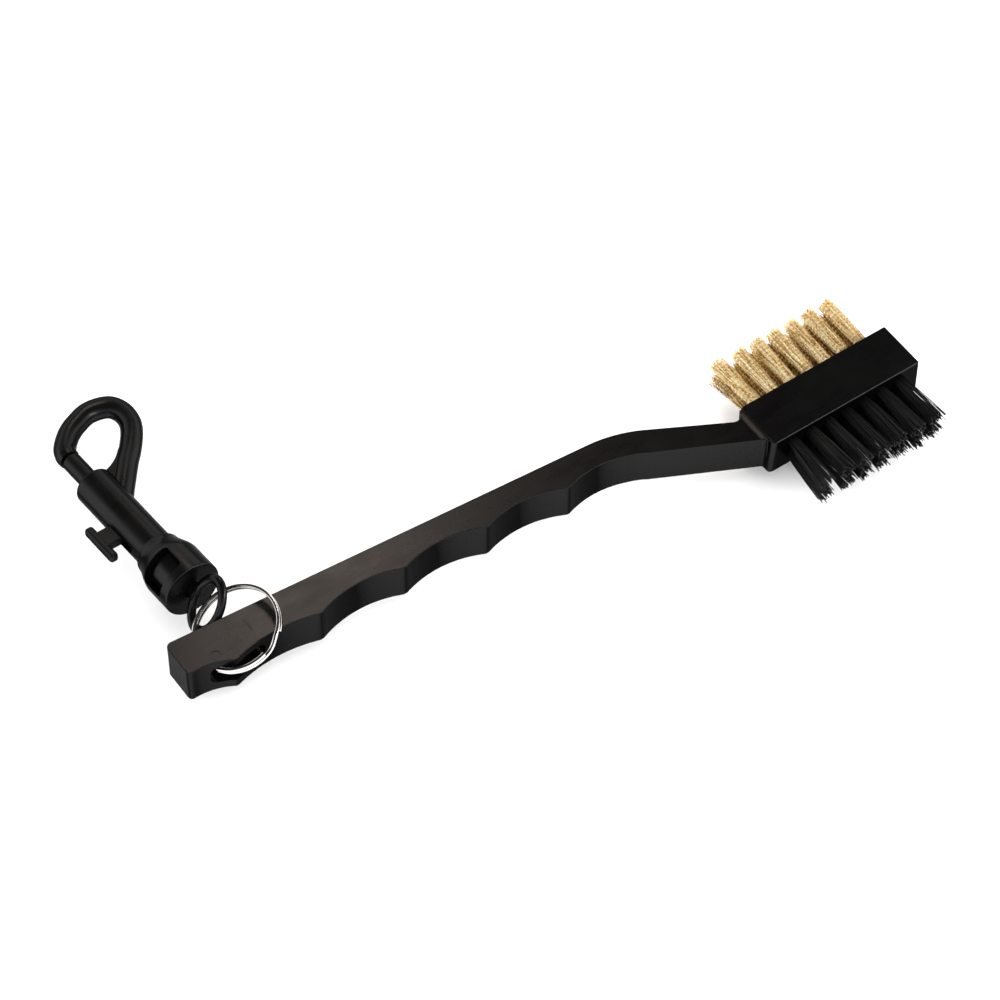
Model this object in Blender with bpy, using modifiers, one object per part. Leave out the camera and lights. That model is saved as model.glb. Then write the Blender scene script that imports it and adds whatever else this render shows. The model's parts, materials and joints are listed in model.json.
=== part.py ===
"""Club groove brush: moulded handle, 28 bristle tufts, split ring and a swivel bolt snap.

Metres, Z up. The origin is the centre of the head block's underside. X runs from the tail
towards the head, the brass bristles point to +Y and the nylon bristles to -Y.
"""

import math

import bmesh
import bpy
from mathutils import Matrix, Vector

GAP = 0.0003

# Head block
BLOCK_SIZE = (0.04216, 0.01305, 0.0105)
BLOCK_EDGE = 0.0005

# Grip plate
GRIP_BASE = 0.00005
GRIP_TOP = 0.01023
GRIP_EDGE = 0.0006
TAIL_NEAR = (-0.1639, 0.0166)
TAIL_FAR = (-0.1639, 0.02628)
TAIL_NEAR_RADIUS = 0.001
TAIL_FAR_RADIUS = 0.0022
BEND_START = (-0.0560, 0.0180)
BEND_CORNER = (-0.0486, 0.01742)
BEND_RADIUS = 0.033
NECK_FAR_ROOT = (-0.02108, 0.0025)
NECK_FAR_FILLET = 0.0021
NECK_NEAR_ROOT = (-0.02108, -0.0040)
NECK_NEAR_FILLET = 0.0015
NECK_OVERLAP = 0.003
# Finger grooves on the near edge: each starts at a cusp (x, y) and is cut this deep.
GROOVES = (
    ((-0.1629, 0.01655), 0.00075),
    ((-0.1535, 0.0139), 0.0018),
    ((-0.13125, 0.01355), 0.00236),
    ((-0.1091, 0.0132), 0.0023),
    ((-0.0877, 0.0119), 0.0023),
    ((-0.0663, 0.01035), 0.00145),
    ((-0.0502, 0.01025), 0.0002),
)
NECK_NEAR_START = (-0.0455, 0.00808)
GROOVE_STEPS = 9
CUSP_BLEND = 0.03

# Ring slot through the tail
SLOT_X = (-0.1589, -0.1449)
SLOT_Z = (0.0025, 0.0081)
SLOT_CORNER = 0.0019

# Bristle tufts
TUFT_COLUMNS = 7
TUFT_PITCH = 0.0051
TUFT_MID_HEIGHT = 0.00525
TUFT_ROW_OFFSET = 0.0022
TUFT_BASE_RADIUS = 0.0012
TUFT_TIP_RADIUS = 0.00205
TUFT_HOLE_RADIUS = TUFT_BASE_RADIUS + GAP
TUFT_HOLE_FLOOR = 0.0012
TUFT_WAIST = 0.0085
BRASS_REACH = 0.0216
NYLON_REACH = 0.0205

# Split ring: two coils of one wire, hung on a line through the slot
RING_RADIUS = 0.01015
WIRE_RADIUS = 0.00047
COIL_SPACING = 0.00104
COIL_JOG = math.radians(26)
COIL_END_GAP = math.radians(5)
COIL_SEAM = math.radians(-62)
COIL_STEPS = 40
RING_PIVOT = (-0.15706, 0.02180, 0.00584)
RING_PIVOT_TO_CENTRE = 0.00929
RING_ANGLES = (math.radians(-2.165), math.radians(-22.537), math.radians(-3.17))

# Bolt snap, measured along its axis from the outer face of the collar
SNAP_ORIGIN = (-0.15043, 0.03640, 0.00842)
SNAP_ANGLES = (math.radians(94.882), math.radians(-2.797), math.radians(181.878))
COLLAR_RADIUS = 0.00715
BARREL_RADIUS = 0.00472
BARREL_END = 0.0404
RIM_EDGE = 0.0004
MOUTH_EDGE = 0.0008
# Outline from the barrel down its shoulder to the collar: (radius, distance along).
SHOULDER = (
    (BARREL_RADIUS, 0.0146),
    (0.0050, 0.0139),
    (0.0056, 0.0130),
    (0.0059, 0.0120),
    (0.0063, 0.0109),
    (0.0068, 0.0096),
    (COLLAR_RADIUS, 0.0080),
)
CAGE = (0.0024, 0.0090)
CAGE_OPENING = 0.0096
CAGE_RADIUS = 0.0058
CAGE_TURN = math.radians(-48)
BORE_RADIUS = 0.00265
THUMB_SLOT = (0.0175, 0.0270)
THUMB_SLOT_WIDTH = 0.0029
HOOK_RADIUS = 0.00265
# Hook centre line: distance along the snap, distance to the side.
HOOK_PATH = (
    (0.0310, 0.0016),
    (0.0336, 0.0036),
    (0.0369, 0.0063),
    (0.0412, 0.0099),
    (0.0442, 0.0127),
    (0.0482, 0.0158),
    (0.0517, 0.0175),
    (0.0556, 0.0177),
    (0.0587, 0.0159),
    (0.0598, 0.0114),
    (0.0584, 0.0070),
    (0.0568, 0.0042),
    (0.0549, 0.0021),
    (0.0532, 0.0007),
    (0.0517, 0.0001),
    (0.0508, 0.0000),
    (0.0500, 0.0000),
)
# Web between the barrel and the root of the hook, in the same terms.
WEB_OUTLINE = (
    (0.0330, 0.0032),
    (0.0402, 0.0032),
    (0.0410, 0.0038),
    (0.0416, 0.0050),
    (0.0422, 0.0064),
    (0.0430, 0.0077),
    (0.0441, 0.0090),
    (0.0456, 0.0104),
    (0.0450, 0.0127),
    (0.0412, 0.0099),
    (0.0369, 0.0063),
)
WEB_THICKNESS = 0.0036

# Swivel eye
EYE_CENTRE = -0.0056
EYE_RADIUS = 0.00626
EYE_LENGTH_SHARE = 0.67
EYE_SECTION = 0.00101
EYE_TURN = math.radians(121.83)
STEM_RADIUS = 0.00185
SWIVEL_HEAD_RADIUS = 0.0054
SWIVEL_HEAD = (0.0028, 0.0086)

# Bolt, thumb knob and spring
BOLT_RADIUS = 0.00235
BOLT_SPAN = (0.0212, 0.0496)
BOLT_NOSE = 0.0006
PEG_RADIUS = 0.00095
PEG_DEPTH = 0.0004
KNOB_NECK = (0.0218, 0.0267)
KNOB_NECK_THICKNESS = 0.0023
KNOB_BAR = (0.0181, 0.0293)
KNOB_BAR_WIDTH = 0.0024
KNOB_BAR_SPAN = (0.0075, 0.0098)
SPRING_WIRE = 0.00025
SPRING_RADIUS = 0.00204
SPRING_TURNS = 9
SPRING_STEPS = 12


def clear_scene():
    for old in list(bpy.data.objects):
        bpy.data.objects.remove(old, do_unlink=True)


def new_collection(name):
    made = bpy.data.collections.new(name)
    bpy.context.scene.collection.children.link(made)
    return made


def new_material(name, colour, roughness, metallic):
    made = bpy.data.materials.new(name)
    made.use_nodes = True
    shader = made.node_tree.nodes["Principled BSDF"]
    shader.inputs["Base Color"].default_value = (*colour, 1.0)
    shader.inputs["Roughness"].default_value = roughness
    shader.inputs["Metallic"].default_value = metallic
    made.diffuse_color = (*colour, 1.0)
    return made


def add_object(name, data, collection, material=None):
    made = bpy.data.objects.new(name, data)
    collection.objects.link(made)
    if material is not None:
        data.materials.append(material)
    return made


def mesh_of(name, shape):
    bmesh.ops.recalc_face_normals(shape, faces=shape.faces)
    mesh = bpy.data.meshes.new(name)
    shape.to_mesh(mesh)
    shape.free()
    return mesh


def smooth(mesh, degrees=35):
    mesh.shade_smooth()
    mesh.set_sharp_from_angle(angle=math.radians(degrees))


def hide_as_cutter(made):
    made.hide_render = True
    made.display_type = "WIRE"


def add_boolean(target, other, operation):
    modifier = target.modifiers.new(other.name, "BOOLEAN")
    modifier.solver = "EXACT"
    modifier.operation = operation
    modifier.object = other


def add_bevel(target, width, segments):
    modifier = target.modifiers.new("edges", "BEVEL")
    modifier.width = width
    modifier.segments = segments
    modifier.limit_method = "ANGLE"
    modifier.angle_limit = math.radians(50)


def box_shape(low, high):
    """A box between two opposite corners."""
    size = [b - a for a, b in zip(low, high)]
    centre = [(a + b) / 2 for a, b in zip(low, high)]
    shape = bmesh.new()
    place = Matrix.Translation(centre) @ Matrix.Diagonal((*size, 1.0))
    bmesh.ops.create_cube(shape, size=1.0, matrix=place)
    return shape


def add_cylinder(shape, radius, start, end, steps):
    """Adds a cylinder between two points."""
    along = Vector(end) - Vector(start)
    turn = Vector((0, 0, 1)).rotation_difference(along).to_matrix().to_4x4()
    place = Matrix.Translation((Vector(start) + Vector(end)) / 2) @ turn
    bmesh.ops.create_cone(
        shape, cap_ends=True, segments=steps, radius1=radius, radius2=radius,
        depth=along.length, matrix=place,
    )


def turned(name, profile, steps, collection, material):
    """A solid turned about Z from a profile listed from its top to its bottom."""
    mesh = bpy.data.meshes.new(name)
    edges = [(i, i + 1) for i in range(len(profile) - 1)]
    mesh.from_pydata([(r, 0.0, z) for r, z in profile], edges, [])
    made = add_object(name, mesh, collection, material)
    screw = made.modifiers.new("turn", "SCREW")
    screw.axis = "Z"
    screw.steps = steps
    screw.render_steps = steps
    screw.use_merge_vertices = True
    screw.merge_threshold = 0.00001
    screw.use_smooth_shade = True
    return made


def wire(name, points, radius, collection, material=None):
    """A round wire along a line of points, with closed ends."""
    curve = bpy.data.curves.new(name, "CURVE")
    curve.dimensions = "3D"
    curve.bevel_depth = radius
    curve.bevel_resolution = 2
    curve.use_fill_caps = True
    spline = curve.splines.new("POLY")
    spline.points.add(len(points) - 1)
    for slot, point in zip(spline.points, points):
        slot.co = (*point, 1.0)
    return add_object(name, curve, collection, material)


def as_mesh(source, collection):
    """Replaces a curve object by a welded mesh object of the same name."""
    bpy.context.view_layer.update()
    graph = bpy.context.evaluated_depsgraph_get()
    mesh = bpy.data.meshes.new_from_object(source.evaluated_get(graph))
    shape = bmesh.new()
    shape.from_mesh(mesh)
    bmesh.ops.remove_doubles(shape, verts=shape.verts, dist=0.000002)
    bmesh.ops.recalc_face_normals(shape, faces=shape.faces)
    shape.to_mesh(mesh)
    shape.free()
    name = source.name
    place = source.matrix_world.copy()
    bpy.data.objects.remove(source, do_unlink=True)
    made = add_object(name, mesh, collection)
    made.matrix_world = place
    return made


def plate(name, outline, thickness, collection):
    """A flat plate of the outline, centred on its own XY plane."""
    curve = bpy.data.curves.new(name, "CURVE")
    curve.dimensions = "2D"
    curve.fill_mode = "BOTH"
    curve.extrude = thickness / 2
    spline = curve.splines.new("POLY")
    spline.points.add(len(outline) - 1)
    for slot, (x, y) in zip(spline.points, outline):
        slot.co = (x, y, 0.0, 1.0)
    spline.use_cyclic_u = True
    return as_mesh(add_object(name, curve, collection), collection)


def bowed(start, end, depth, steps, blend):
    """Points of an arc from start to end that bows to the left of the way it runs."""
    a, b = Vector(start), Vector(end)
    chord = b - a
    left = Vector((-chord.y, chord.x)).normalized()
    radius = (chord.length / 2) ** 2 / (2 * depth) + depth / 2
    centre = (a + b) / 2 + left * (depth - radius)
    half = math.asin(chord.length / 2 / radius)
    points = []
    for i in range(steps + 1):
        share = blend + (1 - 2 * blend) * i / steps
        angle = half * (2 * share - 1)
        offset = chord.normalized() * math.sin(angle) + left * math.cos(angle)
        points.append(tuple(centre + offset * radius))
    return points


def rounded(before, corner, after, radius, steps):
    """Points of a corner rounded to the radius between the two lines that meet there."""
    c = Vector(corner)
    u = (Vector(before) - c).normalized()
    v = (Vector(after) - c).normalized()
    half = u.angle(v) / 2
    reach = radius / math.tan(half)
    centre = c + (u + v).normalized() * (radius / math.sin(half))
    start = c + u * reach - centre
    end = c + v * reach - centre
    sweep = start.angle_signed(end)
    return [
        tuple(centre + Matrix.Rotation(-sweep * i / steps, 2) @ start)
        for i in range(steps + 1)
    ]


def grip_outline():
    """The grip seen from above, from the tail along the grooved edge and back."""
    points = rounded(TAIL_FAR, TAIL_NEAR, GROOVES[0][0], TAIL_NEAR_RADIUS, 3)
    starts = [start for start, _ in GROOVES]
    ends = starts[1:] + [NECK_NEAR_START]
    for start, end, (_, depth) in zip(starts, ends, GROOVES):
        points += bowed(start, end, depth, GROOVE_STEPS, CUSP_BLEND)
    below = (NECK_NEAR_ROOT[0], NECK_NEAR_ROOT[1] - NECK_OVERLAP)
    above = (NECK_FAR_ROOT[0], NECK_FAR_ROOT[1] + 2 * NECK_OVERLAP)
    near = rounded(NECK_NEAR_START, NECK_NEAR_ROOT, below, NECK_NEAR_FILLET, 4)
    far = rounded(above, NECK_FAR_ROOT, BEND_CORNER, NECK_FAR_FILLET, 6)
    points += near
    points.append((near[-1][0] + NECK_OVERLAP, near[-1][1]))
    points.append((far[0][0] + NECK_OVERLAP, far[0][1]))
    points += far
    points += rounded(NECK_FAR_ROOT, BEND_CORNER, BEND_START, BEND_RADIUS, 8)
    points += rounded(BEND_START, TAIL_FAR, TAIL_NEAR, TAIL_FAR_RADIUS, 5)
    return points


def tuft_places():
    """(name suffix, x, z) of each hole on one side of the block."""
    for row, side in (("top", 1), ("low", -1)):
        for column in range(TUFT_COLUMNS):
            x = TUFT_PITCH * (column - (TUFT_COLUMNS - 1) / 2)
            yield f"{row}_{column + 1}", x, TUFT_MID_HEIGHT + side * TUFT_ROW_OFFSET


def build_handle(parts, cutters, material):
    handle = plate("handle", grip_outline(), GRIP_TOP - GRIP_BASE, parts)
    handle.location.z = (GRIP_BASE + GRIP_TOP) / 2
    handle.data.materials.append(material)
    add_bevel(handle, GRIP_EDGE, 3)

    x, y, z = BLOCK_SIZE
    shape = box_shape((-x / 2, -y / 2, 0.0), (x / 2, y / 2, z))
    block = add_object("block_form", mesh_of("block_form", shape), cutters, material)
    hide_as_cutter(block)
    add_bevel(block, BLOCK_EDGE, 3)
    add_boolean(handle, block, "UNION")

    low, high = SLOT_X[0], SLOT_X[1]
    shape = box_shape((low, 0.0, SLOT_Z[0]), (high, 2 * TAIL_FAR[1], SLOT_Z[1]))
    across = [e for e in shape.edges if abs(e.verts[0].co.y - e.verts[1].co.y) > GAP]
    bmesh.ops.bevel(
        shape, geom=across, offset=SLOT_CORNER, segments=4, profile=0.5, affect="EDGES"
    )
    slot = add_object("ring_slot", mesh_of("ring_slot", shape), cutters)
    hide_as_cutter(slot)
    add_boolean(handle, slot, "DIFFERENCE")

    shape = bmesh.new()
    for _, hole_x, hole_z in tuft_places():
        for side in (1, -1):
            start = (hole_x, side * TUFT_HOLE_FLOOR, hole_z)
            end = (hole_x, side * BLOCK_SIZE[1], hole_z)
            add_cylinder(shape, TUFT_HOLE_RADIUS, start, end, 12)
    holes = add_object("tuft_holes", mesh_of("tuft_holes", shape), cutters)
    hide_as_cutter(holes)
    add_boolean(handle, holes, "DIFFERENCE")
    smooth(handle.data)


def build_tufts(parts, brass, nylon):
    foot = TUFT_HOLE_FLOOR + GAP
    face = BLOCK_SIZE[1] / 2
    for kind, reach, turn, tip, material in (
        ("brass", BRASS_REACH, -90, 0.00015, brass),
        ("nylon", NYLON_REACH, 90, 0.0006, nylon),
    ):
        profile = (
            (0.0, reach),
            (TUFT_TIP_RADIUS - tip, reach),
            (TUFT_TIP_RADIUS, reach - tip),
            ((TUFT_TIP_RADIUS + TUFT_BASE_RADIUS) / 2, TUFT_WAIST + 0.004),
            (TUFT_BASE_RADIUS, face),
            (TUFT_BASE_RADIUS, foot),
            (0.0, foot),
        )
        for suffix, x, z in tuft_places():
            tuft = turned(f"{kind}_tuft_{suffix}", profile, 10, parts, material)
            tuft.location = (x, 0.0, z)
            tuft.rotation_euler = (math.radians(turn), 0.0, 0.0)


def build_split_ring(parts, material):
    first = COIL_JOG / 2 + COIL_END_GAP
    last = 4 * math.pi - first
    steps = 2 * COIL_STEPS
    points = []
    for i in range(steps + 1):
        along = first + (last - first) * i / steps
        share = (along - 2 * math.pi + COIL_JOG / 2) / COIL_JOG
        share = min(max(share, 0.0), 1.0)
        lift = COIL_SPACING * (share * share * (3 - 2 * share) - 0.5)
        angle = COIL_SEAM + along
        x = RING_PIVOT_TO_CENTRE + RING_RADIUS * math.cos(angle)
        points.append((x, RING_RADIUS * math.sin(angle), lift))
    ring = wire("split_ring", points, WIRE_RADIUS, parts, material)
    ring.location = RING_PIVOT
    ring.rotation_euler = RING_ANGLES


def smooth_path(points, steps):
    """Catmull-Rom points through the given ones."""
    ends = (points[0], *points, points[-1])
    path = []
    for p0, p1, p2, p3 in zip(ends, ends[1:], ends[2:], ends[3:]):
        for i in range(steps):
            t = i / steps
            path.append(tuple(
                0.5 * (2 * b + (c - a) * t + (2 * a - 5 * b + 4 * c - d) * t * t
                       + (3 * b - a - 3 * c + d) * t * t * t)
                for a, b, c, d in zip(p0, p1, p2, p3)
            ))
    path.append(points[-1])
    return path


def build_clip_body(parts, cutters, frame, material):
    profile = (
        (0.0, BARREL_END),
        (BARREL_RADIUS - MOUTH_EDGE, BARREL_END),
        (BARREL_RADIUS - 0.3 * MOUTH_EDGE, BARREL_END - 0.3 * MOUTH_EDGE),
        (BARREL_RADIUS, BARREL_END - MOUTH_EDGE),
        *SHOULDER,
        (COLLAR_RADIUS, RIM_EDGE),
        (COLLAR_RADIUS - RIM_EDGE, 0.0),
        (0.0, 0.0),
    )
    body = turned("clip_body", profile, 32, parts, material)
    body.parent = frame

    line = [(-side, 0.0, along) for along, side in smooth_path(HOOK_PATH, 2)]
    hook = as_mesh(wire("hook_form", line, HOOK_RADIUS, cutters), cutters)
    hook.data.materials.append(material)
    outline = [(-side, along) for along, side in WEB_OUTLINE]
    web = plate("web_form", outline, WEB_THICKNESS, cutters)
    web.rotation_euler.x = math.radians(90)
    web.data.materials.append(material)

    shape = bmesh.new()
    hole = STEM_RADIUS + GAP
    add_cylinder(shape, hole, (0, 0, -CAGE[0]), (0, 0, (CAGE[0] + CAGE[1]) / 2), 16)
    stem_hole = add_object("stem_hole", mesh_of("stem_hole", shape), cutters)

    shape = bmesh.new()
    add_cylinder(shape, BORE_RADIUS, (0, 0, CAGE[1] - 0.002), (0, 0, BARREL_END + 0.002), 20)
    bore = add_object("bolt_bore", mesh_of("bolt_bore", shape), cutters)

    half = CAGE_OPENING / 2
    reach = 2 * COLLAR_RADIUS
    shape = box_shape((-half, -reach, CAGE[0]), (half, reach, CAGE[1]))
    window = add_object("cage_window", mesh_of("cage_window", shape), cutters)
    window.rotation_euler.z = CAGE_TURN

    shape = bmesh.new()
    add_cylinder(shape, CAGE_RADIUS, (0, 0, CAGE[0]), (0, 0, CAGE[1]), 24)
    cage = add_object("cage_space", mesh_of("cage_space", shape), cutters)

    half = THUMB_SLOT_WIDTH / 2
    shape = box_shape((0.0, -half, THUMB_SLOT[0]), (reach, half, THUMB_SLOT[1]))
    slot = add_object("thumb_slot", mesh_of("thumb_slot", shape), cutters)

    for form, operation in (
        (hook, "UNION"),
        (web, "UNION"),
        (window, "DIFFERENCE"),
        (cage, "DIFFERENCE"),
        (stem_hole, "DIFFERENCE"),
        (bore, "DIFFERENCE"),
        (slot, "DIFFERENCE"),
    ):
        form.parent = frame
        hide_as_cutter(form)
        add_boolean(body, form, operation)


def build_swivel(parts, cutters, frame, material):
    low, high = SWIVEL_HEAD[0] - EYE_CENTRE, SWIVEL_HEAD[1] - EYE_CENTRE
    root = EYE_RADIUS * EYE_LENGTH_SHARE - EYE_SECTION / 2
    r = SWIVEL_HEAD_RADIUS
    profile = (
        (0.0, high),
        (0.5 * r, high - 0.0002),
        (0.85 * r, high - 0.0010),
        (r, high - 0.0020),
        (r, low + 0.0006),
        (0.85 * r, low),
        (STEM_RADIUS, low),
        (STEM_RADIUS, root),
        (0.0, root),
    )
    swivel = turned("swivel_eye", profile, 20, parts, material)
    swivel.parent = frame
    swivel.location.z = EYE_CENTRE
    swivel.rotation_euler.z = EYE_TURN

    shape = bmesh.new()
    rings = []
    ring_steps, section_steps = 32, 12
    for i in range(ring_steps):
        turn = 2 * math.pi * i / ring_steps
        ring = []
        for j in range(section_steps):
            around = 2 * math.pi * j / section_steps
            reach = EYE_RADIUS + EYE_SECTION * math.cos(around)
            squash = EYE_LENGTH_SHARE * EYE_RADIUS + EYE_SECTION * math.cos(around)
            y = EYE_SECTION * math.sin(around)
            ring.append(shape.verts.new((reach * math.cos(turn), y, squash * math.sin(turn))))
        rings.append(ring)
    for i, ring in enumerate(rings):
        after = rings[(i + 1) % ring_steps]
        for j in range(section_steps):
            k = (j + 1) % section_steps
            shape.faces.new((ring[j], ring[k], after[k], after[j]))
    eye = add_object("eye_form", mesh_of("eye_form", shape), cutters, material)
    eye.parent = swivel
    hide_as_cutter(eye)
    add_boolean(swivel, eye, "UNION")


def build_bolt(parts, cutters, frame, plastic, knob_plastic, steel):
    length = BOLT_SPAN[1] - BOLT_SPAN[0]
    profile = (
        (0.0, length),
        (BOLT_RADIUS - BOLT_NOSE, length),
        (BOLT_RADIUS - 0.3 * BOLT_NOSE, length - 0.3 * BOLT_NOSE),
        (BOLT_RADIUS, length - BOLT_NOSE),
        (BOLT_RADIUS, 0.0),
        (0.0, 0.0),
    )
    bolt = turned("bolt", profile, 20, parts, plastic)
    bolt.parent = frame
    bolt.location.z = BOLT_SPAN[0]

    peg_at = (KNOB_NECK[0] + KNOB_NECK[1]) / 2
    shape = bmesh.new()
    hole = PEG_RADIUS + GAP
    add_cylinder(shape, hole, (PEG_DEPTH - GAP, 0, peg_at), (2 * BOLT_RADIUS, 0, peg_at), 12)
    peg_hole = add_object("peg_hole", mesh_of("peg_hole", shape), cutters)
    peg_hole.parent = frame
    hide_as_cutter(peg_hole)
    add_boolean(bolt, peg_hole, "DIFFERENCE")

    low, high = KNOB_BAR[0] - peg_at, KNOB_BAR[1] - peg_at
    half = KNOB_BAR_WIDTH / 2
    shape = box_shape((KNOB_BAR_SPAN[0], -half, low), (KNOB_BAR_SPAN[1], half, high))
    knob = add_object("thumb_knob", mesh_of("thumb_knob", shape), parts, knob_plastic)
    knob.parent = frame
    knob.location.z = peg_at
    add_bevel(knob, 0.0008, 3)

    low, high = KNOB_NECK[0] - peg_at, KNOB_NECK[1] - peg_at
    half = KNOB_NECK_THICKNESS / 2
    near = BOLT_RADIUS + GAP
    shape = box_shape((near, -half, low), (KNOB_BAR_SPAN[0] + 0.0010, half, high))
    neck = add_object("knob_neck_form", mesh_of("knob_neck_form", shape), cutters, knob_plastic)
    shape = bmesh.new()
    add_cylinder(shape, PEG_RADIUS, (PEG_DEPTH, 0, 0), (near + 0.0010, 0, 0), 12)
    peg = add_object("knob_peg_form", mesh_of("knob_peg_form", shape), cutters, knob_plastic)
    for form in (neck, peg):
        form.parent = knob
        hide_as_cutter(form)
        add_boolean(knob, form, "UNION")
    smooth(knob.data)

    start = SWIVEL_HEAD[1] + GAP + SPRING_WIRE
    end = BOLT_SPAN[0] - GAP - SPRING_WIRE
    steps = SPRING_TURNS * SPRING_STEPS
    points = []
    for i in range(steps + 1):
        angle = 2 * math.pi * SPRING_TURNS * i / steps
        x, y = SPRING_RADIUS * math.cos(angle), SPRING_RADIUS * math.sin(angle)
        points.append((x, y, (end - start) * i / steps))
    spring = wire("bolt_spring", points, SPRING_WIRE, parts, steel)
    spring.parent = frame
    spring.location.z = start


def main():
    clear_scene()
    parts = new_collection("club_groove_brush")
    cutters = new_collection("cutters")
    black = new_material("black_moulding", (0.032, 0.030, 0.028), 0.45, 0.0)
    snap_black = new_material("snap_plastic", (0.020, 0.020, 0.021), 0.38, 0.0)
    eye_black = new_material("eye_plastic", (0.018, 0.018, 0.019), 0.35, 0.0)
    bolt_black = new_material("bolt_plastic", (0.022, 0.022, 0.023), 0.40, 0.0)
    knob_black = new_material("knob_plastic", (0.020, 0.020, 0.020), 0.50, 0.0)
    brass = new_material("brass_wire", (0.66, 0.50, 0.26), 0.35, 1.0)
    nylon = new_material("nylon_bristle", (0.012, 0.012, 0.013), 0.42, 0.0)
    nickel = new_material("nickel_plate", (0.62, 0.60, 0.57), 0.22, 1.0)
    steel = new_material("spring_steel", (0.50, 0.50, 0.50), 0.30, 1.0)

    build_handle(parts, cutters, black)
    build_tufts(parts, brass, nylon)
    build_split_ring(parts, nickel)
    frame = add_object("snap_axis", None, parts)
    frame.location = SNAP_ORIGIN
    frame.rotation_euler = SNAP_ANGLES
    build_clip_body(parts, cutters, frame, snap_black)
    build_swivel(parts, cutters, frame, eye_black)
    build_bolt(parts, cutters, frame, bolt_black, knob_black, steel)


main()
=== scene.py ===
"""Looks of the club groove brush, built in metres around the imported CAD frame.

The brush lies flat in the frame of its head block: X runs along the block and away from
the grip, the brass bristles point along +Y, the nylon ones along -Y, and Z is up.
"""

import json
import math

import bmesh
import bpy
import numpy as np
from mathutils import Matrix, Vector


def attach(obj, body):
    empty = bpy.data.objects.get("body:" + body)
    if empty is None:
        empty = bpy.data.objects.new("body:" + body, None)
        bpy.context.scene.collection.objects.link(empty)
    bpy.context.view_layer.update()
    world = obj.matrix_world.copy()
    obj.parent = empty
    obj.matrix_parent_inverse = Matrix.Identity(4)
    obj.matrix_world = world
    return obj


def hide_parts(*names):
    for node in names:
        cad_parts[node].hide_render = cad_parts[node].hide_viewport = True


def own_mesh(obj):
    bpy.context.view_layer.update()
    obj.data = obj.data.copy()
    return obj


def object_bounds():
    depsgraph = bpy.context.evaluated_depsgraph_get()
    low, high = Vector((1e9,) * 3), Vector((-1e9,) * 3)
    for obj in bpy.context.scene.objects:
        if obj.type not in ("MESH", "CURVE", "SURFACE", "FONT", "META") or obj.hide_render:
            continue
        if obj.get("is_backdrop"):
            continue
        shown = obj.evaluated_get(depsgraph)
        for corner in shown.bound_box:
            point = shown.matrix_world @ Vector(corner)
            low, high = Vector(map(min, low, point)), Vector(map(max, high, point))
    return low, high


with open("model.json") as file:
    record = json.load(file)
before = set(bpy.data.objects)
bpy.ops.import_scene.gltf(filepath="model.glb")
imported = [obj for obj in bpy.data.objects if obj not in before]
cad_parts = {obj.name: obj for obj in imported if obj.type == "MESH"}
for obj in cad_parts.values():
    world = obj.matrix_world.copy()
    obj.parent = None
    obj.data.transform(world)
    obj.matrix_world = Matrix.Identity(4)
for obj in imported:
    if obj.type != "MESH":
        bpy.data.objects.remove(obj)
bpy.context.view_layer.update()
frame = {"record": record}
JOINTS = {joint["name"]: joint for joint in frame["record"]["behaviour"]["joints"]}

# Clearance between fitted pieces, and how edges are rounded and shaded
GAP = 0.0003
EDGE_SEGMENTS = 4
EDGE_ANGLE = math.radians(50)
SMOOTH_DEGREES = 32
TUBE_SMOOTH_DEGREES = 50

# Head block: its foot at the neck's end stands out a little, and its corners there are round
BLOCK_LOW, BLOCK_HIGH = Vector((-0.02108, -0.006525, 0.0)), Vector((0.02108, 0.006525, 0.0105))
BLOCK_EDGE = 0.00042
BLOCK_DRAFT = 0.0008
BLOCK_CORNER = 0.0011
BLOCK_CORNER_SEGMENTS = 6
MID_HEIGHT = 0.00525

# Grip and neck, as (x, y) points seen from above. Step pairs are for the near and far side.
GRIP_BASE = 0.00005
GRIP_TOP = 0.01023
GRIP_EDGE = 0.00045
TAIL_NEAR = (-0.1642, 0.0166)
TAIL_NEAR_RADIUS = 0.001
TAIL_FAR = (-0.1642, 0.02628)
TAIL_FAR_RADIUS = 0.0014
TAIL_STEPS = (6, 10)
BEND_START = (-0.0560, 0.0180)
BEND_CORNER = (-0.0486, 0.01742)
BEND_RADIUS = 0.033
BEND_STEPS = 24
NECK_NEAR_START = (-0.0455, 0.00808)
NECK_NEAR_ROOT = (-0.0216, -0.0040)
NECK_NEAR_FILLET = 0.0014
NECK_FAR_ROOT = (-0.0215, 0.0025)
NECK_FAR_FILLET = 0.0021
NECK_STEPS = (10, 14)
NECK_OVERLAP = 0.003

# Finger grooves along the near side: where each starts, and how deep it bows in
GROOVES = (
    ((-0.1629, 0.01655), 0.00075),
    ((-0.1535, 0.0139), 0.0018),
    ((-0.13125, 0.01355), 0.00236),
    ((-0.1091, 0.0132), 0.0023),
    ((-0.0877, 0.0119), 0.0023),
    ((-0.0663, 0.01035), 0.00145),
    ((-0.0502, 0.01025), 0.0002),
)
GROOVE_STEPS = 22
CUSP_BLEND = 0.022

# Low ramp between the neck's top and the block's
RAMP_RUN = (-0.0019, 0.0003)
RAMP_STEPS = 14
RAMP_DEPTH = 0.0012
RAMP_SINK = 0.00003
RAMP_INSET = GRIP_EDGE * 0.6

# Slot for the ring, and the marks sunk in the tail's top
SLOT_X = (-0.1589, -0.1449)
SLOT_Z = (0.0025, 0.0081)
SLOT_CORNER = 0.0019
SLOT_CORNER_SEGMENTS = 8
MARK_DEPTH = 0.00014
MOULD_LINE = ((-0.14645, 0.0182), (-0.14615, 0.0220))
PIN_MARK = (-0.1564, 0.0176)
PIN_MARK_RADIUS = 0.0011
PIN_MARK_STEPS = 40

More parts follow.
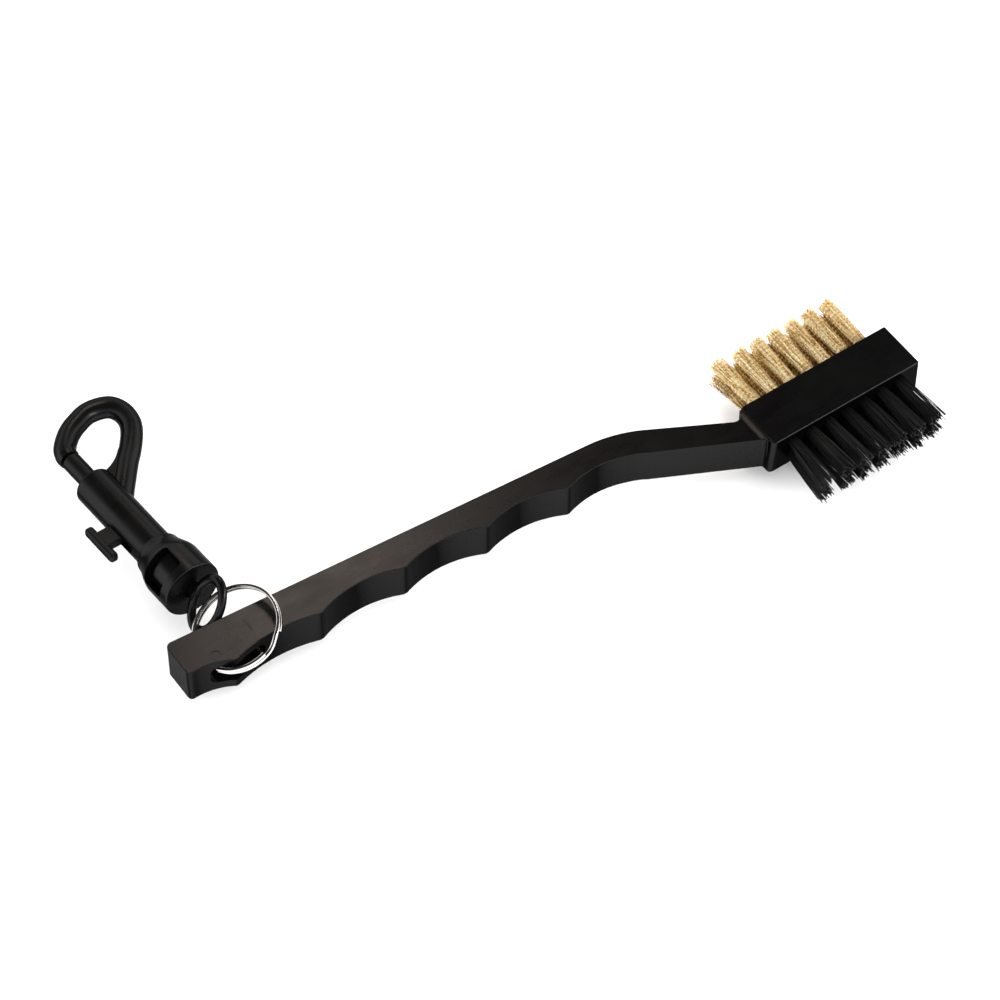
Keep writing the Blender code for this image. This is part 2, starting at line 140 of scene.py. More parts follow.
# Tufts: two rows of seven on each side, in holes that stop short of the middle
COLUMNS = 7
PITCH = 0.0051
ROW_OFFSET = 0.0022
HOLE_RADIUS = 0.0017
HOLE_FLOOR = 0.0012
HOLE_REACH = 0.013
HOLE_STEPS = 24
ROOT_START = HOLE_FLOOR + 0.0006
FAN_START = 0.0055
LOWEST_BRISTLE = 0.0002
GOLDEN_ANGLE = 2.399963
RANDOM_TURN = 6.28
DISC_JITTER = 0.05

# Brass wires. A lean is how far the tips stand off: at random, at the neck's end of the
# block, and by row (upper, lower). A few wires of the tufts at that end stray outwards.
BRASS_SEED = 100
BRASS_WIRES = 78
BRASS_STEPS = 60
BRASS_SIDES = 4
BRASS_WIRE_RADIUS = 0.000108
BRASS_REACH = 0.0216
BRASS_REACH_SPREAD = 0.00016
BRASS_ROOT_RADIUS = 0.00138
BRASS_TIP_RADIUS = 0.00182
BRASS_TIP_JITTER = 0.05
BRASS_LEAN = (0.00012, 0.00012)
BRASS_END_LEAN = 0.0007
BRASS_ROW_LEAN = (0.0001, -0.0001)
STRAY_SHARE = 0.08
STRAY_OUT = (0.0010, 0.0034)
STRAY_UP = (-0.0012, 0.0006)

# Crimp of the brass: its pitch and swing, and how far the waves differ
CRIMP_PITCH = 0.00112
CRIMP_SWING = 0.00016
CRIMP_STRENGTH = (0.75, 1.1)
CRIMP_SHIFT = 0.12
CRIMP_TILT = 0.9
CRIMP_TWIST = 0.2
CRIMP_START = 0.006
CRIMP_FADE = 0.001

# Nylon filaments
NYLON_SEED = 400
NYLON_FILAMENTS = 64
NYLON_STEPS = 9
NYLON_SIDES = 6
NYLON_RADIUS = 0.000125
NYLON_RADIUS_SPREAD = (0.92, 1.08)
NYLON_REACH = 0.0205
NYLON_REACH_SPREAD = 0.00032
NYLON_ROOT_RADIUS = 0.00125
NYLON_TIP_RADIUS = 0.00230
NYLON_TIP_FLATNESS = 0.9
NYLON_TIP_SPREAD = (0.00015, 0.00012)
NYLON_BOW = 0.00010
NYLON_LEAN = (0.0002, 0.00015)
NYLON_END_LEAN = 0.0009
NYLON_ROW_LEAN = (0.0001, -0.0002)

# Split ring, in its own frame: X from the pivot line to the centre, Z square to the coils
RING_RADIUS = 0.01015
RING_PIVOT = Vector((-0.15706, 0.02180, 0.00584))
RING_PIVOT_TO_CENTRE = 0.00929
RING_ANGLES = (math.radians(-2.165), math.radians(-22.537), math.radians(-3.17))
RING_WIRE_HALF = 0.00044
RING_WIRE_CORNER = 0.00028
RING_SMOOTH_DEGREES = 40
COIL_STEPS = 260
COIL_SPACING = 0.00104
COIL_JOG = math.radians(26)
COIL_END_GAP = math.radians(5)
COIL_SEAM = math.radians(-62)

# Bolt snap. Heights run along its axis from the outer face of the collar, and a pair of them
# is a low and a high end. The ring on the collar's face keeps its shading flat.
SNAP_ORIGIN = Vector(JOINTS["clip_spin"]["pos_m"])
SNAP_ANGLES = (math.radians(94.882), math.radians(-2.797), math.radians(181.878))
COLLAR_RADIUS = 0.00715
COLLAR_EDGE = 0.0004
COLLAR_FACE_RING = COLLAR_RADIUS - 0.0009
BARREL_RADIUS = 0.00472
BARREL_END = 0.0404
BARREL_STEPS = 72
MOUTH_EDGE = 0.0008
MOUTH_SEGMENTS = 6
SHOULDER = (
    (BARREL_RADIUS, 0.0149),
    (0.00476, 0.0144),
    (0.00485, 0.0142),
    (0.00525, 0.0141),
    (0.00545, 0.0140),
    (0.00558, 0.0137),
    (0.00568, 0.0129),
    (0.00590, 0.0120),
    (0.00630, 0.0109),
    (0.00665, 0.0100),
    (0.00690, 0.0092),
    (0.00705, 0.0086),
    (COLLAR_RADIUS, 0.0079),
)
CAGE = (0.0024, 0.0090)
CAGE_RADIUS = 0.0058
CAGE_OPENING = 0.0096
CAGE_OPENING_CORNER = 0.0009
CAGE_TURN = math.radians(-48)
STEM_HOLE = (-0.003, 0.0068)
STEM_HOLE_STEPS = 40
BORE_RADIUS = 0.00265
BORE_OVERRUN = 0.002
BORE_STEPS = 56
THUMB_SLOT = (0.0175, 0.0270)
THUMB_SLOT_WIDTH = 0.0029
THUMB_SLOT_CORNER = 0.0006
OPENING_CORNER_SEGMENTS = 5

# Hook and its web, as (height, distance from the axis) points
HOOK_RADIUS = 0.00265
HOOK_TIP_TAPER = 0.05
HOOK_TIP_SHARE = 0.1
HOOK_END_EDGE = 0.0004
HOOK_PATH_STEPS = 8
HOOK_SECTION_STEPS = 28
HOOK_PATH = (
    (0.0310, 0.0016),
    (0.0336, 0.0036),
    (0.0369, 0.0063),
    (0.0412, 0.0099),
    (0.0442, 0.0127),
    (0.0482, 0.0158),
    (0.0517, 0.0175),
    (0.0556, 0.0177),
    (0.0587, 0.0159),
    (0.0598, 0.0114),
    (0.0584, 0.0070),
    (0.0568, 0.0042),
    (0.0549, 0.0021),
    (0.0532, 0.0007),
    (0.0517, 0.0001),
    (0.0508, 0.0000),
    (0.0500, 0.0000),
)
WEB_THICKNESS = 0.0036
WEB_EDGE = 0.0009
WEB_OUTLINE = (
    (0.0330, 0.0032),
    (0.0402, 0.0032),
    (0.0408, 0.0035),
    (0.0412, 0.0041),
    (0.0416, 0.0050),
    (0.0419, 0.0058),
    (0.0424, 0.0067),
    (0.0430, 0.0077),
    (0.0437, 0.0086),
    (0.0446, 0.0095),
    (0.0456, 0.0104),
    (0.0450, 0.0127),
    (0.0412, 0.0099),
    (0.0369, 0.0063),
)

# Swivel: an oval eye, a stem, and a wide head inside the cage. The head's foot is given as
# shares of its radius with heights above its lower end.
EYE_CENTRE = -0.0056
EYE_RADIUS = 0.00626
EYE_LENGTH_SHARE = 0.67
EYE_SECTION = 0.00101
EYE_SPREAD = 0.00022
EYE_TURN = math.radians(121.83)
EYE_STEPS = 96
EYE_SECTION_STEPS = 28
STEM_RADIUS = 0.00185
SWIVEL_STEPS = 48
SWIVEL_SMOOTH_DEGREES = 40
SWIVEL_HEAD = (0.0028, 0.0086)
SWIVEL_HEAD_RADIUS = 0.0054
SWIVEL_HEAD_EDGE = 0.0006
SWIVEL_HEAD_SEGMENTS = 6
SWIVEL_HEAD_FOOT = ((1.0, 0.0006), (0.95, 0.0002), (0.85, 0.0))

# Bolt, with the thumb knob pegged into it. KNOB_BAR_REACH and the peg's ends are distances
# from the snap's axis, and the grooves take shares of the bar.
BOLT_RADIUS = 0.00235
BOLT_ENDS = (0.0212, 0.0496)
BOLT_TIP_EDGE = 0.0006
BOLT_FOOT_EDGE = 0.0002
BOLT_STEPS = 48
PEG_RADIUS = 0.00095
PEG_START = 0.0004
PEG_OVERLAP = 0.001
PEG_HOLE = (0.0001, 0.005)
PEG_STEPS = 24
KNOB_NECK = (0.0218, 0.0267)
KNOB_NECK_THICKNESS = 0.0023
KNOB_NECK_EDGE = 0.0003
KNOB_NECK_SEGMENTS = 3
KNOB_NECK_OVERLAP = 0.0008
KNOB_BAR = (0.0181, 0.0293)
KNOB_BAR_WIDTH = 0.0024
KNOB_BAR_REACH = (0.0075, 0.0098)
KNOB_BAR_EDGE = 0.0009
KNOB_BAR_SEGMENTS = 6
KNOB_GROOVES = 11
KNOB_GROOVE_RADIUS = 0.00042
KNOB_GROOVE_LIFT = 0.00028
KNOB_GROOVE_STEPS = 12
KNOB_GROOVED_LENGTH = 0.78
KNOB_GROOVED_HALF_WIDTH = 0.42

# Spring behind the bolt
SPRING_WIRE = 0.00025
SPRING_WIRE_STEPS = 10
SPRING_RADIUS = 0.00204
SPRING_TURNS = 9
SPRING_TURN_STEPS = 36

# Black plastics: darkest and lightest tint, and roughness
PLASTICS = {
    "handle_moulding_look": ((0.0008, 0.0007, 0.0007), (0.0015, 0.0014, 0.0013), 0.29),
    "snap_plastic_look": ((0.0012, 0.0012, 0.0012), (0.0022, 0.0022, 0.0022), 0.30),
    "eye_plastic_look": ((0.0012, 0.0012, 0.0012), (0.0022, 0.0022, 0.0022), 0.28),
    "bolt_plastic_look": ((0.0014, 0.0014, 0.0014), (0.0026, 0.0026, 0.0026), 0.36),
    "knob_plastic_look": ((0.0016, 0.0016, 0.0016), (0.0032, 0.0032, 0.0032), 0.42),
}
PLASTIC_SQUARE_GLOSS = 0.2
PLASTIC_SLANTED_GLOSS = 0.006
PLASTIC_RELIEF = 0.00002

# Brass: painted crevice shade, wire tone and painted highlights, mixed at random in streaks along
# the wires. The lower row's colours are darker: painted shade between the rows.
UPPER_BRASS = ((0.44, 0.22, 0.05), (1.00, 0.74, 0.34), (1.00, 0.90, 0.58))
LOWER_BRASS_PAINTED_SHADE = ((0.10, 0.04, 0.005), (0.42, 0.24, 0.07), (0.85, 0.60, 0.26))

# Camera
CAMERA_LENS = 151.2
CAMERA_SENSOR = 36.0
CAMERA_CLIP = (0.05, 20.0)
CAMERA_AZIMUTH = math.radians(-35.06)
CAMERA_ELEVATION = math.radians(53.0)
CAMERA_DISTANCE = 0.94585
CAMERA_TARGET = Vector((-0.08092, 0.01666, 0.0100))

# Studio. A light's offset is from the spot that it shines on, and the walls fade into the
# ceiling between two heights of the unit sphere round the scene.
ROOM_LEVEL = 1.8
WALL_LEVEL = 1.7
CEILING_LEVEL = 0.03
WALL_FADE = (0.30, 0.62)
TAIL_SPOT = Vector((-0.122, 0.0165, 0.0102))
TAIL_BOX_OFFSET = (0.118, 0.215, 0.348)
TAIL_BOX_SIZE = (0.065, 0.20)
TAIL_BOX_POWER = 0.36
TAIL_BOX_COLOUR = (1.0, 0.84, 0.76)
HEAD_SPOT = Vector((0.0, 0.0, 0.01))
STRIP_OFFSET = (0.30, -0.60, 0.34)
STRIP_SIZE = (0.55, 0.14)
STRIP_POWER = 4.2
WHITE = (1.0, 1.0, 1.0)
FLOOR_HALF = 3.0
FLOOR_CELLS = 8
FLOOR_DROP = 0.00005


# ---- materials -----------------------------------------------------------------------


class Nodes:
    """A short way to write a material's node tree."""

    def __init__(self, name):
        self.material = bpy.data.materials.new(name)
        self.material.use_nodes = True
        self.tree = self.material.node_tree
        self.shader = self.tree.nodes["Principled BSDF"]
        coordinates = self.tree.nodes.new("ShaderNodeTexCoord")
        self.place = coordinates.outputs["Object"]

    def add(self, kind, inputs=(), **settings):
        node = self.tree.nodes.new("ShaderNode" + kind)
        for key, value in settings.items():
            setattr(node, key, value)
        for key, value in dict(inputs).items():
            self.feed(node.inputs[key], value)
        return node

    def feed(self, socket, value):
        if isinstance(value, bpy.types.NodeSocket):
            self.tree.links.new(value, socket)
        else:
            socket.default_value = value

    def set(self, **inputs):
        for key, value in inputs.items():
            self.feed(self.shader.inputs[key.replace("_", " ")], value)

    def scaled(self, scale):
        node = self.add("Mapping", {"Vector": self.place, "Scale": scale})
        return node.outputs["Vector"]

    def noise(self, scale, detail, rough=0.55, vector=None):
        place = self.place if vector is None else vector
        node = self.add(
            "TexNoise",
            {"Vector": place, "Scale": scale, "Detail": detail, "Roughness": rough},
        )
        return node.outputs["Fac"]

    def ramp(self, fac, stops):
        node = self.add("ValToRGB", {"Fac": fac})
        ramp = node.color_ramp
        while len(ramp.elements) < len(stops):
            ramp.elements.new(0.5)
        for element, (position, colour) in zip(ramp.elements, stops):
            element.position = position
            element.color = (*colour, 1.0)
        return node.outputs["Color"]

    def spread(self, fac, low, high, start=0.3, end=0.7):
        """Stretches fac's range from start to end over low to high."""
        node = self.add(
            "MapRange",
            {"Value": fac, "From Min": start, "From Max": end, "To Min": low, "To Max": high},
        )
        return node.outputs["Result"]

    def math(self, operation, a, b):
        node = self.add("Math", operation=operation)
        self.feed(node.inputs[0], a)
        self.feed(node.inputs[1], b)
        return node.outputs["Value"]

    def bump(self, height, distance, strength):
        node = self.add("Bump", {"Height": height, "Distance": distance, "Strength": strength})
        self.feed(self.shader.inputs["Normal"], node.outputs["Normal"])


def moulded_plastic(name, dark, light, roughness):
    """Black moulding: mottled gloss, a fine mould grain and faint handling marks.

    Faces seen square on are glossier than slanting ones, which would otherwise look grey.
    """
    nodes = Nodes(name)
    cloud = nodes.noise(55.0, 3.0)
    grain = nodes.noise(2600.0, 2.0, 0.6)
    streak = nodes.noise(420.0, 5.0, 0.65, nodes.scaled((0.25, 1.0, 1.0)))
    colour = nodes.ramp(cloud, ((0.3, dark), (0.75, light)))
    gloss = nodes.math(
        "ADD",
        nodes.spread(cloud, roughness - 0.05, roughness + 0.05),
        nodes.spread(streak, -0.02, 0.025, 0.35, 0.7),
    )
    relief = nodes.math("ADD", grain, nodes.math("MULTIPLY", streak, 0.5))
    facing = nodes.add("LayerWeight", {"Blend": 0.5}).outputs["Facing"]
    level = nodes.spread(facing, PLASTIC_SQUARE_GLOSS, PLASTIC_SLANTED_GLOSS, 0.25, 0.5)
    nodes.set(Base_Color=colour, Roughness=gloss, Specular_IOR_Level=level)
    nodes.bump(relief, PLASTIC_RELIEF, 0.6)
    return nodes.material


def brass_material(name, dark, middle, bright):
    """Drawn brass, tinted in random streaks along the wires between painted crevice shade, the
    wire's tone and painted highlights.
    """
    nodes = Nodes(name)
    tint = nodes.noise(2600.0, 2.0, 0.5, nodes.scaled((1.0, 0.10, 1.0)))
    colour = nodes.ramp(tint, ((0.36, dark), (0.46, middle), (0.60, bright)))
    gloss = nodes.spread(nodes.noise(2400.0, 2.0), 0.22, 0.38)
    nodes.set(Base_Color=colour, Roughness=gloss, Metallic=0.85)
    nodes.bump(nodes.noise(5200.0, 2.0), 0.000006, 0.4)
    return nodes.material


def nylon_material():
    """Black nylon with a soft sheen."""
    nodes = Nodes("nylon_bristle_look")
    tint = nodes.noise(1500.0, 2.0, 0.5, nodes.scaled((1.0, 0.08, 1.0)))
    colour = nodes.ramp(tint, ((0.35, (0.0015, 0.0015, 0.0015)), (0.7, (0.006, 0.006, 0.006))))
    gloss = nodes.spread(tint, 0.30, 0.48)
    nodes.set(Base_Color=colour, Roughness=gloss, Specular_IOR_Level=0.35)
    nodes.bump(nodes.noise(4200.0, 2.0), 0.000006, 0.4)
    return nodes.material


def nickel_material():
    """Bright nickel plate, slightly clouded."""
    nodes = Nodes("ring_nickel_look")
    cloud = nodes.noise(260.0, 3.0)
    fine = nodes.noise(3800.0, 3.0, 0.6)
    colour = nodes.ramp(cloud, ((0.3, (0.56, 0.54, 0.52)), (0.7, (0.80, 0.78, 0.76))))
    gloss = nodes.math("ADD", nodes.spread(cloud, 0.07, 0.14), nodes.spread(fine, -0.02, 0.04))
    nodes.set(Base_Color=colour, Roughness=gloss, Metallic=1.0)
    nodes.bump(fine, 0.000004, 0.35)
    return nodes.material


def spring_material():
    """Dull drawn steel."""
    nodes = Nodes("spring_steel_look")
    drawn = nodes.noise(2800.0, 3.0, 0.6)
    colour = nodes.ramp(drawn, ((0.3, (0.16, 0.16, 0.165)), (0.7, (0.30, 0.30, 0.30))))
    nodes.set(Base_Color=colour, Roughness=nodes.spread(drawn, 0.25, 0.42), Metallic=1.0)
    nodes.bump(drawn, 0.000004, 0.4)
    return nodes.material


def floor_material():
    nodes = Nodes("studio_floor_look")
    cloud = nodes.noise(3.0, 2.0)
    colour = nodes.ramp(cloud, ((0.3, (0.93, 0.93, 0.93)), (0.7, (0.95, 0.95, 0.95))))
    nodes.set(Base_Color=colour, Roughness=0.85, Specular_IOR_Level=0.15)
    return nodes.material


# ---- mesh helpers --------------------------------------------------------------------


def place_object(name, data, material=None):
    made = bpy.data.objects.new(name, data)
    bpy.context.scene.collection.objects.link(made)
    if material is not None:
        data.materials.append(material)
    return made


def mesh_of(name, shape):
    """The mesh of a bmesh shape, which is freed, with its faces pointing out."""
    bmesh.ops.recalc_face_normals(shape, faces=shape.faces)
    mesh = bpy.data.meshes.new(name)
    shape.to_mesh(mesh)
    shape.free()
    return mesh


def form_of(name, shape):
    """An object for joining to a piece or cutting it, which settle removes."""
    return place_object(name, mesh_of(name, shape))


def smooth(mesh, degrees):
    mesh.shade_smooth()
    mesh.set_sharp_from_angle(angle=math.radians(degrees))


def add_bevel(target, width, segments):
    modifier = target.modifiers.new("edges", "BEVEL")
    modifier.width = width
    modifier.segments = segments
    modifier.limit_method = "ANGLE"
    modifier.angle_limit = EDGE_ANGLE


def add_boolean(target, other, operation):
    modifier = target.modifiers.new(other.name, "BOOLEAN")
    modifier.solver = "EXACT"
    modifier.operation = operation
    modifier.object = other


def bake(made):
    """Turns an object's modifiers into its mesh."""
    bpy.context.view_layer.update()
    graph = bpy.context.evaluated_depsgraph_get()
    mesh = bpy.data.meshes.new_from_object(made.evaluated_get(graph))
    made.modifiers.clear()
    made.data = mesh


def settle(made, joined=(), cut=(), degrees=SMOOTH_DEGREES):
    """Joins and cuts a piece with its forms, removes them, and shades the piece smooth."""
    for form in joined:
        add_boolean(made, form, "UNION")
    for form in cut:
        add_boolean(made, form, "DIFFERENCE")
    bake(made)
    for form in (*joined, *cut):
        bpy.data.objects.remove(form, do_unlink=True)
    smooth(made.data, degrees)
    weights = made.modifiers.new("normals", "WEIGHTED_NORMAL")
    weights.keep_sharp = True
    bake(made)


def box_shape(low, high):
    size = [b - a for a, b in zip(low, high)]
    centre = [(a + b) / 2 for a, b in zip(low, high)]
    shape = bmesh.new()
    place = Matrix.Translation(centre) @ Matrix.Diagonal((*size, 1.0))
    bmesh.ops.create_cube(shape, size=1.0, matrix=place)
    return shape


def edges_along(shape, axis):
    """The edges of a box that run along X (axis 0) or Y (axis 1)."""
    ends = [(edge, edge.verts[0].co, edge.verts[1].co) for edge in shape.edges]
    return [edge for edge, a, b in ends if abs(a[axis] - b[axis]) > GAP]


def round_edges(shape, edges, radius, segments):
    bmesh.ops.bevel(
        shape, geom=edges, offset=radius, segments=segments, profile=0.5, affect="EDGES"
    )


def add_cylinder(shape, radius, start, end, steps):
    along = Vector(end) - Vector(start)
    turn = Vector((0, 0, 1)).rotation_difference(along).to_matrix().to_4x4()
    place = Matrix.Translation((Vector(start) + Vector(end)) / 2) @ turn
    bmesh.ops.create_cone(
        shape, cap_ends=True, segments=steps, radius1=radius, radius2=radius,
        depth=along.length, matrix=place,
    )


def cylinder_form(name, radius, start, end, steps):
    shape = bmesh.new()
    add_cylinder(shape, radius, start, end, steps)
    return form_of(name, shape)


def bridge(shape, rings):
    """Walls of quads from each ring of vertices to the next."""
    count = len(rings[0])
    for near, far in zip(rings, rings[1:]):
        for j in range(count):
            k = (j + 1) % count
            shape.faces.new((near[j], near[k], far[k], far[j]))


def prism(name, outline, low, high):
    """An upright prism of the outline between two heights."""
    shape = bmesh.new()
    floor = [shape.verts.new((x, y, low)) for x, y in outline]
    roof = [shape.verts.new((x, y, high)) for x, y in outline]
    bridge(shape, (floor, roof))
    shape.faces.new(roof)
    shape.faces.new(reversed(floor))
    return place_object(name, mesh_of(name, shape))


def turned_mesh(name, profile, steps):
    """A closed mesh turned about Z from (radius, height) points that start and end at 0."""
    shape = bmesh.new()
    rings = []
    for radius, height in profile:
        if radius == 0.0:
            rings.append([shape.verts.new((0.0, 0.0, height))])
            continue
        rings.append([
            shape.verts.new((
                radius * math.cos(2 * math.pi * i / steps),
                radius * math.sin(2 * math.pi * i / steps),
                height,
            ))
            for i in range(steps)
        ])
    for upper, lower in zip(rings, rings[1:]):
        for i in range(steps):
            j = (i + 1) % steps
            if len(upper) == 1:
                shape.faces.new((upper[0], lower[i], lower[j]))
            elif len(lower) == 1:
                shape.faces.new((upper[i], upper[j], lower[0]))
            else:
                shape.faces.new((upper[i], upper[j], lower[j], lower[i]))
    return mesh_of(name, shape)


def swept_mesh(name, path, section, upright):
    """A closed tube along a path. section gives the (side, up) offsets for a share of it."""
    points = [Vector(point) for point in path]
    last = len(points) - 1
    shape = bmesh.new()
    rings = []
    for i, point in enumerate(points):
        ahead = points[min(i + 1, last)] - points[max(i - 1, 0)]
        ahead.normalize()
        side = ahead.cross(Vector(upright)).normalized()
        up = side.cross(ahead).normalized()
        outline = section(i / last)
        rings.append([shape.verts.new(point + side * a + up * b) for a, b in outline])
    bridge(shape, rings)
    shape.faces.new(rings[0])
    shape.faces.new(reversed(rings[-1]))
    return mesh_of(name, shape)


def round_section(radius, steps):
    angles = [2 * math.pi * i / steps for i in range(steps)]
    return [(radius * math.cos(a), radius * math.sin(a)) for a in angles]


def square_section(half, corner, steps=4):
    """A square of the given half width, with steps points round each corner."""
    points = []
    for quarter, (sx, sy) in enumerate(((1, 1), (-1, 1), (-1, -1), (1, -1))):
        cx, cy = sx * (half - corner), sy * (half - corner)
        for i in range(steps):
            angle = math.pi / 2 * (quarter + i / (steps - 1))
            points.append((cx + corner * math.cos(angle), cy + corner * math.sin(angle)))
    return points


def smooth_path(points, steps):
    """Catmull-Rom points through the given ones."""
    ends = (points[0], *points, points[-1])
    path = []
    for p0, p1, p2, p3 in zip(ends, ends[1:], ends[2:], ends[3:]):
        for i in range(steps):
            t = i / steps
            path.append(tuple(
                0.5 * (2 * b + (c - a) * t + (2 * a - 5 * b + 4 * c - d) * t * t
                       + (3 * b - a - 3 * c + d) * t * t * t)
                for a, b, c, d in zip(p0, p1, p2, p3)
            ))
    path.append(points[-1])
    return path


def ease(share):
    """Smoothstep: level at 0 and at 1."""
    return share * share * (3 - 2 * share)


# ---- handle --------------------------------------------------------------------------


def bowed(start, end, depth):
    """Points of an arc that bows to the left of the way from start to end.

    It stops a little short of both, so that two arcs meet in a blunted cusp.
    """
    a, b = Vector(start), Vector(end)
    chord = b - a
    left = Vector((-chord.y, chord.x)).normalized()
    radius = (chord.length / 2) ** 2 / (2 * depth) + depth / 2
    centre = (a + b) / 2 + left * (depth - radius)
    half = math.asin(chord.length / 2 / radius)
    points = []
    for i in range(GROOVE_STEPS + 1):
        share = CUSP_BLEND + (1 - 2 * CUSP_BLEND) * i / GROOVE_STEPS
        angle = half * (2 * share - 1)
        offset = chord.normalized() * math.sin(angle) + left * math.cos(angle)
        points.append(tuple(centre + offset * radius))
    return points


def rounded(before, corner, after, radius, steps):
    """Points of the arc that rounds a corner of an outline."""
    c = Vector(corner)
    u = (Vector(before) - c).normalized()
    v = (Vector(after) - c).normalized()
    half = u.angle(v) / 2
    reach = radius / math.tan(half)
    centre = c + (u + v).normalized() * (radius / math.sin(half))
    start = c + u * reach - centre
    end = c + v * reach - centre
    sweep = start.angle_signed(end)
    return [
        tuple(centre + Matrix.Rotation(-sweep * i / steps, 2) @ start)
        for i in range(steps + 1)
    ]


def neck_fillets():
    """The near and far fillets between the neck and the block."""
    below = (NECK_NEAR_ROOT[0], NECK_NEAR_ROOT[1] - NECK_OVERLAP)
    above = (NECK_FAR_ROOT[0], NECK_FAR_ROOT[1] + 2 * NECK_OVERLAP)
    near = rounded(NECK_NEAR_START, NECK_NEAR_ROOT, below, NECK_NEAR_FILLET, NECK_STEPS[0])
    far = rounded(above, NECK_FAR_ROOT, BEND_CORNER, NECK_FAR_FILLET, NECK_STEPS[1])
    return near, far


def grip_outline():
    """The grip and neck from above, once round from the tail along the near side."""
    points = rounded(TAIL_FAR, TAIL_NEAR, GROOVES[0][0], TAIL_NEAR_RADIUS, TAIL_STEPS[0])
    starts = [start for start, _ in GROOVES]
    ends = starts[1:] + [NECK_NEAR_START]
    for start, end, (_, depth) in zip(starts, ends, GROOVES):
        points += bowed(start, end, depth)
    near, far = neck_fillets()
    points += near
    points.append((near[-1][0] + NECK_OVERLAP, near[-1][1]))
    points.append((far[0][0] + NECK_OVERLAP, far[0][1]))
    points += far
    points += rounded(NECK_FAR_ROOT, BEND_CORNER, BEND_START, BEND_RADIUS, BEND_STEPS)
    points += rounded(BEND_START, TAIL_FAR, TAIL_NEAR, TAIL_FAR_RADIUS, TAIL_STEPS[1])
    return points


def side_at(x, fillet, line):
    """Y of the neck's side at x: along its line, then the fillet's nearest point."""
    if x > min(point[0] for point in fillet):
        return min(fillet, key=lambda point: abs(point[0] - x))[1]
    (ax, ay), (bx, by) = line
    return ay + (by - ay) * (x - ax) / (bx - ax)


def shoulder_form():
    """The low slope between the neck's top and the slightly higher block."""
    near, far = neck_fillets()
    start, end = BLOCK_LOW.x + RAMP_RUN[0], BLOCK_LOW.x + RAMP_RUN[1]
    foot = GRIP_TOP - RAMP_DEPTH
    shape = bmesh.new()
    rings = []
    for i in range(RAMP_STEPS + 1):
        share = i / RAMP_STEPS
        x = start + (end - start) * share
        top = GRIP_TOP - RAMP_SINK + (BLOCK_HIGH.z - GRIP_TOP) * ease(share)
        y_near = side_at(x, near, (NECK_NEAR_START, NECK_NEAR_ROOT)) + RAMP_INSET
        y_far = side_at(x, far, (BEND_CORNER, NECK_FAR_ROOT)) - RAMP_INSET
        corners = ((x, y_near, foot), (x, y_far, foot), (x, y_far, top), (x, y_near, top))
        rings.append([shape.verts.new(corner) for corner in corners])
    bridge(shape, rings)
    shape.faces.new(rings[0])
    shape.faces.new(reversed(rings[-1]))
    return form_of("shoulder_form", shape)


def is_neck_corner(edge):
    """True for the block's two upright edges at the neck's end."""
    a, b = (vertex.co for vertex in edge.verts)
    return a.x < 0 and b.x < 0 and abs(a.z - b.z) > MID_HEIGHT


def block_form():
    shape = box_shape(BLOCK_LOW, BLOCK_HIGH)
    for vertex in shape.verts:
        if vertex.co.x < 0 and vertex.co.z < MID_HEIGHT:
            vertex.co.x -= BLOCK_DRAFT
    corners = [edge for edge in shape.edges if is_neck_corner(edge)]
    round_edges(shape, corners, BLOCK_CORNER, BLOCK_CORNER_SEGMENTS)
    block = form_of("block_form", shape)
    add_bevel(block, BLOCK_EDGE, EDGE_SEGMENTS)
    return block


def ring_slot_form():
    """The slot, which runs right through the tail along Y."""
    low = (SLOT_X[0], 0.0, SLOT_Z[0])
    high = (SLOT_X[1], 2 * TAIL_FAR[1], SLOT_Z[1])
    shape = box_shape(low, high)
    round_edges(shape, edges_along(shape, 1), SLOT_CORNER, SLOT_CORNER_SEGMENTS)
    return form_of("slot_form", shape)


def tuft_places():
    """Each tuft's name ending, its x and its height."""
    for row, side in (("top", 1), ("low", -1)):
        for column in range(COLUMNS):
            x = PITCH * (column - (COLUMNS - 1) / 2)
            yield f"{row}_{column + 1}", x, MID_HEIGHT + side * ROW_OFFSET


def tuft_holes_form():
    shape = bmesh.new()
    for _, x, z in tuft_places():
        for side in (1, -1):
            start, end = (x, side * HOLE_FLOOR, z), (x, side * HOLE_REACH, z)
            add_cylinder(shape, HOLE_RADIUS, start, end, HOLE_STEPS)
    return form_of("holes_form", shape)


def marks_form():
    """The moulding line and the pin mark, sunk in the tail's top."""
    floor, roof = GRIP_TOP - MARK_DEPTH, GRIP_TOP + GRIP_EDGE
    shape = box_shape((*MOULD_LINE[0], floor), (*MOULD_LINE[1], roof))
    start, end = (*PIN_MARK, floor), (*PIN_MARK, roof)
    add_cylinder(shape, PIN_MARK_RADIUS, start, end, PIN_MARK_STEPS)
    return form_of("marks_form", shape)


def build_handle(material):
    handle = prism("handle_moulding", grip_outline(), GRIP_BASE, GRIP_TOP)
    handle.data.materials.append(material)
    add_bevel(handle, GRIP_EDGE, EDGE_SEGMENTS)
    joined = (block_form(), shoulder_form())
    cut = (ring_slot_form(), tuft_holes_form(), marks_form())
    settle(handle, joined, cut)
    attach(handle, "brush")
    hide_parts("handle")


# ---- bristles ------------------------------------------------------------------------


